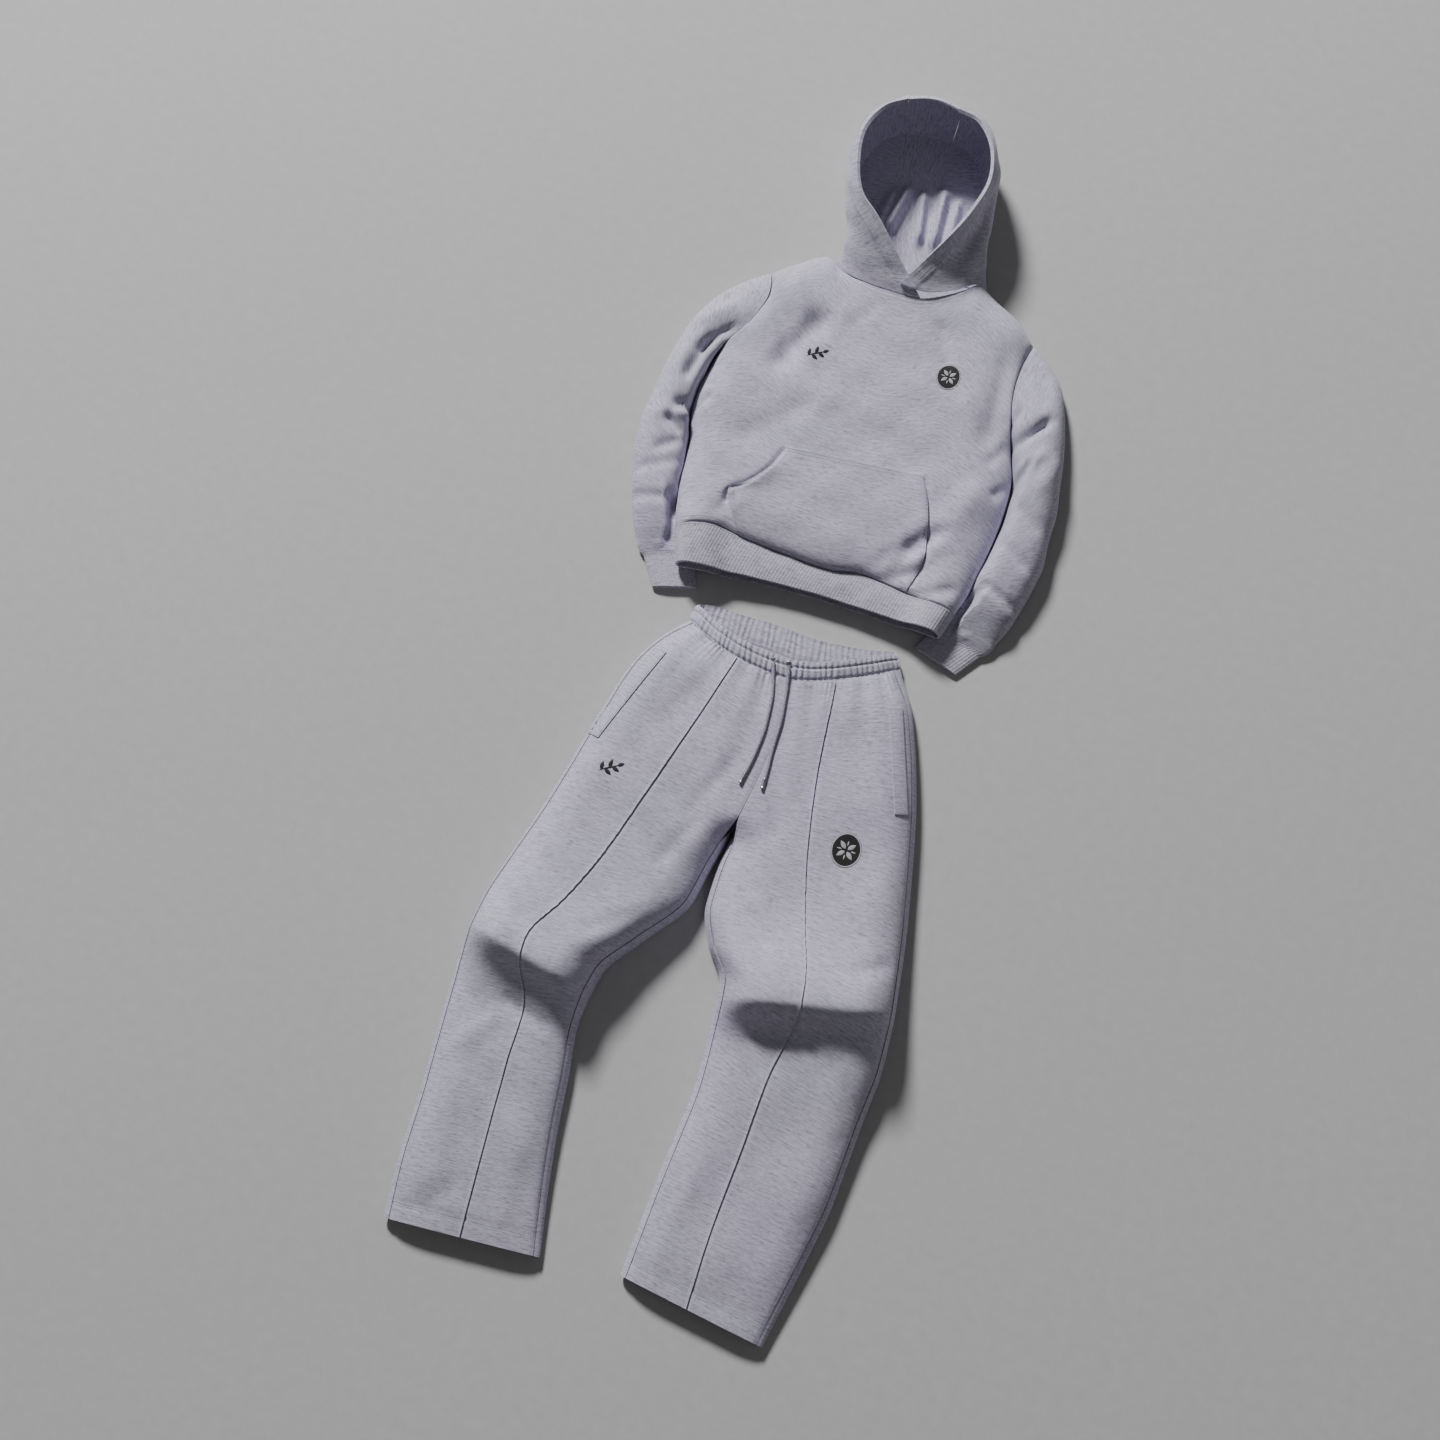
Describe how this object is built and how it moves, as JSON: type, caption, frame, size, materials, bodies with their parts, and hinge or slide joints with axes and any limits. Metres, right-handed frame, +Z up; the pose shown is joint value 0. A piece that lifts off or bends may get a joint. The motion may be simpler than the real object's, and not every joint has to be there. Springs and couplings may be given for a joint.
{
  "type": "hooded tracksuit",
  "caption": "Hooded fleece pullover and gathered-waist joggers laid flat on the floor, fronts up, sleeves folded in beside the body.",
  "frame": {"origin": "middle of the whole set's length and width, on the floor that it lies on", "axes": "+Y from the trouser hems towards the hood, +X towards the wearer's left, +Z up from the floor"},
  "size_m": [0.6698, 1.9181, 0.1124],
  "materials": {
    "fleece": "soft marled brushed fleece",
    "rib": "fine rib knit",
    "cord": "braided cord",
    "metal": "satin crimped tip"
  },
  "bodies": {
    "root": {"aglet_left": "metal", "aglet_right": "metal", "cuff_left": "rib", "cuff_right": "rib", "drawcord_left": "cord", "drawcord_right": "cord", "hem_band": "rib", "hood_centre": "fleece", "hood_left": "fleece", "hood_right": "fleece", "hoodie_back": "fleece", "hoodie_front": "fleece", "kangaroo_pocket": "fleece", "pocket_welt_left": "fleece", "pocket_welt_right": "fleece", "sleeve_left": "fleece", "sleeve_right": "fleece", "trouser_back_left": "fleece", "trouser_back_right": "fleece", "trouser_front_left": "fleece", "trouser_front_right": "fleece", "waistband": "fleece"}
  },
  "joints": []
}
